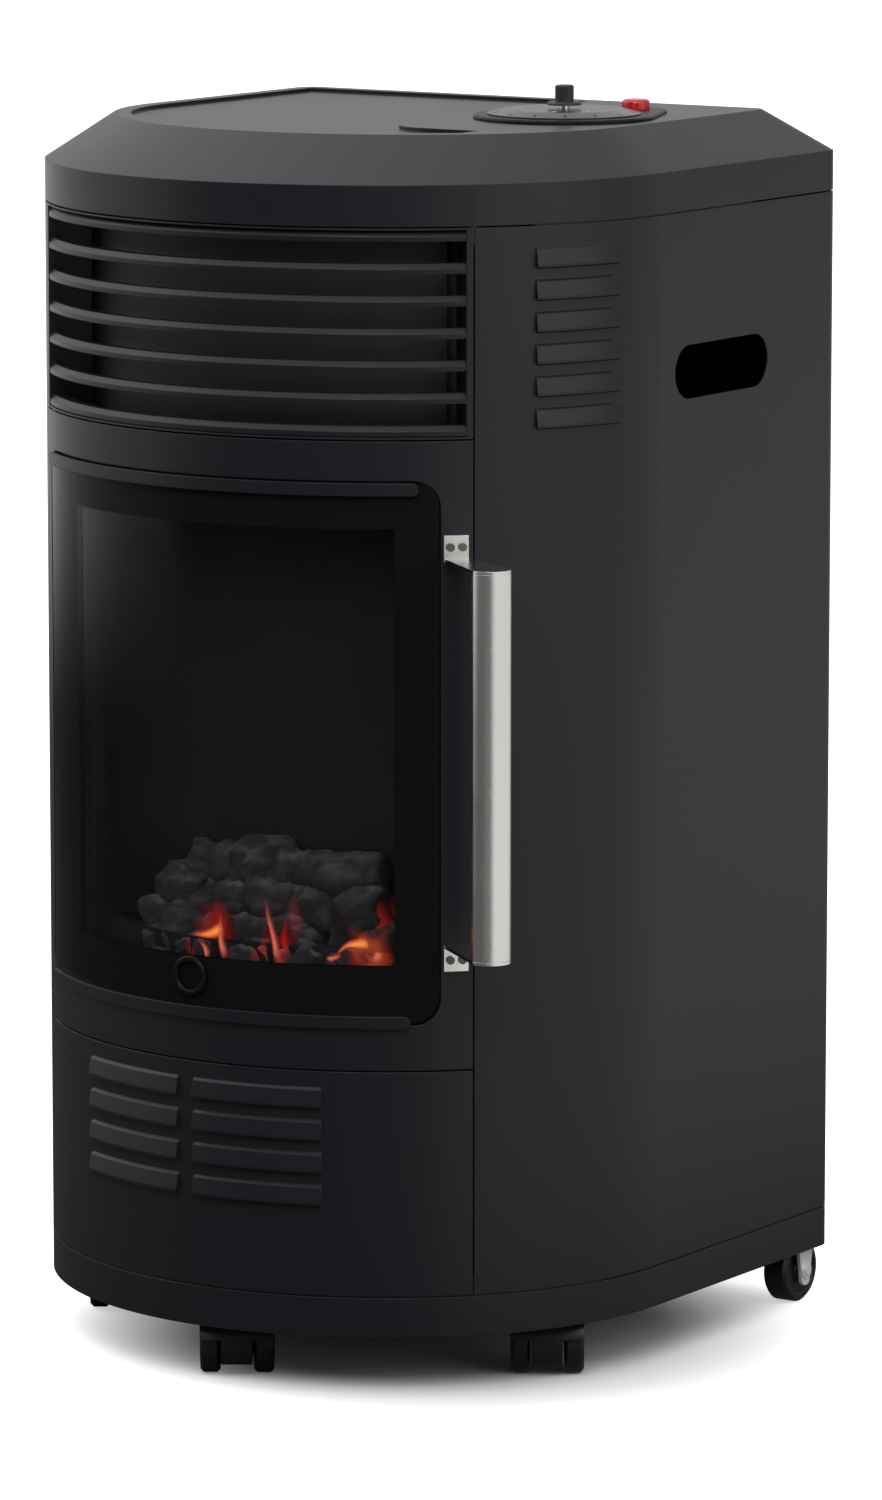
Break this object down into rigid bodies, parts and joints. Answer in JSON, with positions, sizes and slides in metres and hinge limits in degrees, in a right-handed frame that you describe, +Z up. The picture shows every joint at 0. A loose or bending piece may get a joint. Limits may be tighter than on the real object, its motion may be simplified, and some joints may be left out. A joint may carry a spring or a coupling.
{
  "type": "portable gas cabinet heater",
  "caption": "Steel cabinet heater with a bowed front: a glass door over a ceramic coal bed, a warm air grille, gas controls on the lid and castors below.",
  "frame": {"origin": "on the floor, under the middle of the heater's outline", "axes": "+X to the right, +Y to the back, +Z up, seen from the front"},
  "size_m": [0.428, 0.4272, 0.807],
  "materials": {
    "cabinet_paint": "satin anthracite powder coat",
    "frame_paint": "matt black paint",
    "galvanised": "galvanised sheet",
    "fire_steel": "heat-blued steel",
    "stainless": "brushed stainless steel",
    "zinc": "bright zinc plate",
    "brass": "machined brass",
    "pipe_metal": "drawn aluminium pipe",
    "door_glass": "black tinted heat-proof glass",
    "seal": "woven glass rope",
    "gloss_black": "glossy black plastic",
    "dial_grey": "glossy grey plastic",
    "soft_black": "matt black plastic",
    "castor_plastic": "matt black nylon",
    "red_plastic": "glossy red plastic",
    "coal_ceramic": "rough dark ceramic fibre",
    "white_ceramic": "glazed white ceramic"
  },
  "bodies": {
    "cabinet": {"air_baffle": "frame_paint", "base_tray": "cabinet_paint", "burner_injector": "brass", "burner_tray": "fire_steel", "burner_tube": "fire_steel", "ceramic_coals": "coal_ceramic", "coal_grate": "fire_steel", "control_plate": "gloss_black", "dial_plate": "dial_grey", "door_catch": "galvanised", "firebox_liner": "fire_steel", "front_castor_stem": "zinc", "gas_pipe": "pipe_metal", "gas_valve": "brass", "grille": "cabinet_paint", "heat_shield": "galvanised", "hinge_brackets": "galvanised", "hinge_pins": "stainless", "igniter_body": "soft_black", "inlet_nozzle": "brass", "left_castor_stem": "zinc", "lid": "cabinet_paint", "lower_panel": "cabinet_paint", "pilot_burner": "fire_steel", "pilot_pipe": "pipe_metal", "rear_frame": "frame_paint", "rear_left_castor_axle": "zinc", "rear_left_castor_fork": "zinc", "rear_right_castor_axle": "zinc", "rear_right_castor_fork": "zinc", "right_castor_stem": "zinc", "side_panel_left": "cabinet_paint", "side_panel_right": "cabinet_paint", "spark_electrode": "white_ceramic", "thermocouple": "stainless", "valve_bracket": "galvanised"},
    "door": {"door_frame": "cabinet_paint", "door_glass": "door_glass", "glass_gasket": "seal", "glass_rail_top": "cabinet_paint", "glass_rail_bottom": "cabinet_paint", "sight_ring": "soft_black", "handle_bar": "stainless", "handle_brackets": "stainless", "handle_screws": "stainless"},
    "rear_cover": {"rear_cover": "cabinet_paint"},
    "knob_push": {"valve_spindle": "stainless"},
    "knob": {"control_knob": "soft_black"},
    "igniter_button": {"igniter_button": "red_plastic"},
    "front_castor_swivel": {"front_castor_hood": "castor_plastic", "front_castor_axle": "zinc"},
    "front_castor_wheels": {"front_castor_wheels": "castor_plastic"},
    "left_castor_swivel": {"left_castor_hood": "castor_plastic", "left_castor_axle": "zinc"},
    "left_castor_wheels": {"left_castor_wheels": "castor_plastic"},
    "right_castor_swivel": {"right_castor_hood": "castor_plastic", "right_castor_axle": "zinc"},
    "right_castor_wheels": {"right_castor_wheels": "castor_plastic"},
    "rear_left_castor_wheel": {"rear_left_castor_wheel": "castor_plastic"},
    "rear_right_castor_wheel": {"rear_right_castor_wheel": "castor_plastic"}
  },
  "joints": [
    {"name": "door_hinge", "type": "hinge", "parent": "cabinet", "child": "door", "pos_m": [-0.14925, -0.14755, 0.403], "axis": [0, 0, -1], "range_deg": [0, 100]},
    {"name": "rear_cover_off", "type": "slide", "parent": "cabinet", "child": "rear_cover", "axis": [0, 1, 0], "range_m": [0, 0.45]},
    {"name": "knob_push", "type": "slide", "parent": "cabinet", "child": "knob_push", "axis": [0, 0, -1], "range_m": [0, 0.002], "stiffness_N_per_m": 900},
    {"name": "knob_turn", "type": "hinge", "parent": "knob_push", "child": "knob", "pos_m": [0.112, 0.0416, 0.793], "axis": [0, 0, 1], "range_deg": [0, 210]},
    {"name": "igniter_press", "type": "slide", "parent": "cabinet", "child": "igniter_button", "axis": [0, 0, -1], "range_m": [0, 0.004], "stiffness_N_per_m": 700},
    {"name": "front_castor_turn", "type": "hinge", "parent": "cabinet", "child": "front_castor_swivel", "pos_m": [0, -0.1654, 0.048], "axis": [0, 0, 1], "continuous": true},
    {"name": "front_castor_roll", "type": "hinge", "parent": "front_castor_swivel", "child": "front_castor_wheels", "pos_m": [0.00436, -0.17211, 0.0215], "axis": [0.8387, 0.5446, 0], "continuous": true},
    {"name": "left_castor_turn", "type": "hinge", "parent": "cabinet", "child": "left_castor_swivel", "pos_m": [-0.164, -0.0574, 0.048], "axis": [0, 0, 1], "continuous": true},
    {"name": "left_castor_roll", "type": "hinge", "parent": "left_castor_swivel", "child": "left_castor_wheels", "pos_m": [-0.15964, -0.06411, 0.0215], "axis": [0.8387, 0.5446, 0], "continuous": true},
    {"name": "right_castor_turn", "type": "hinge", "parent": "cabinet", "child": "right_castor_swivel", "pos_m": [0.164, -0.0574, 0.048], "axis": [0, 0, 1], "continuous": true},
    {"name": "right_castor_roll", "type": "hinge", "parent": "right_castor_swivel", "child": "right_castor_wheels", "pos_m": [0.16836, -0.06411, 0.0215], "axis": [0.8387, 0.5446, 0], "continuous": true},
    {"name": "rear_left_castor_roll", "type": "hinge", "parent": "cabinet", "child": "rear_left_castor_wheel", "pos_m": [-0.1955, 0.1916, 0.0215], "axis": [1, 0, 0], "continuous": true},
    {"name": "rear_right_castor_roll", "type": "hinge", "parent": "cabinet", "child": "rear_right_castor_wheel", "pos_m": [0.1955, 0.1916, 0.0215], "axis": [1, 0, 0], "continuous": true}
  ]
}
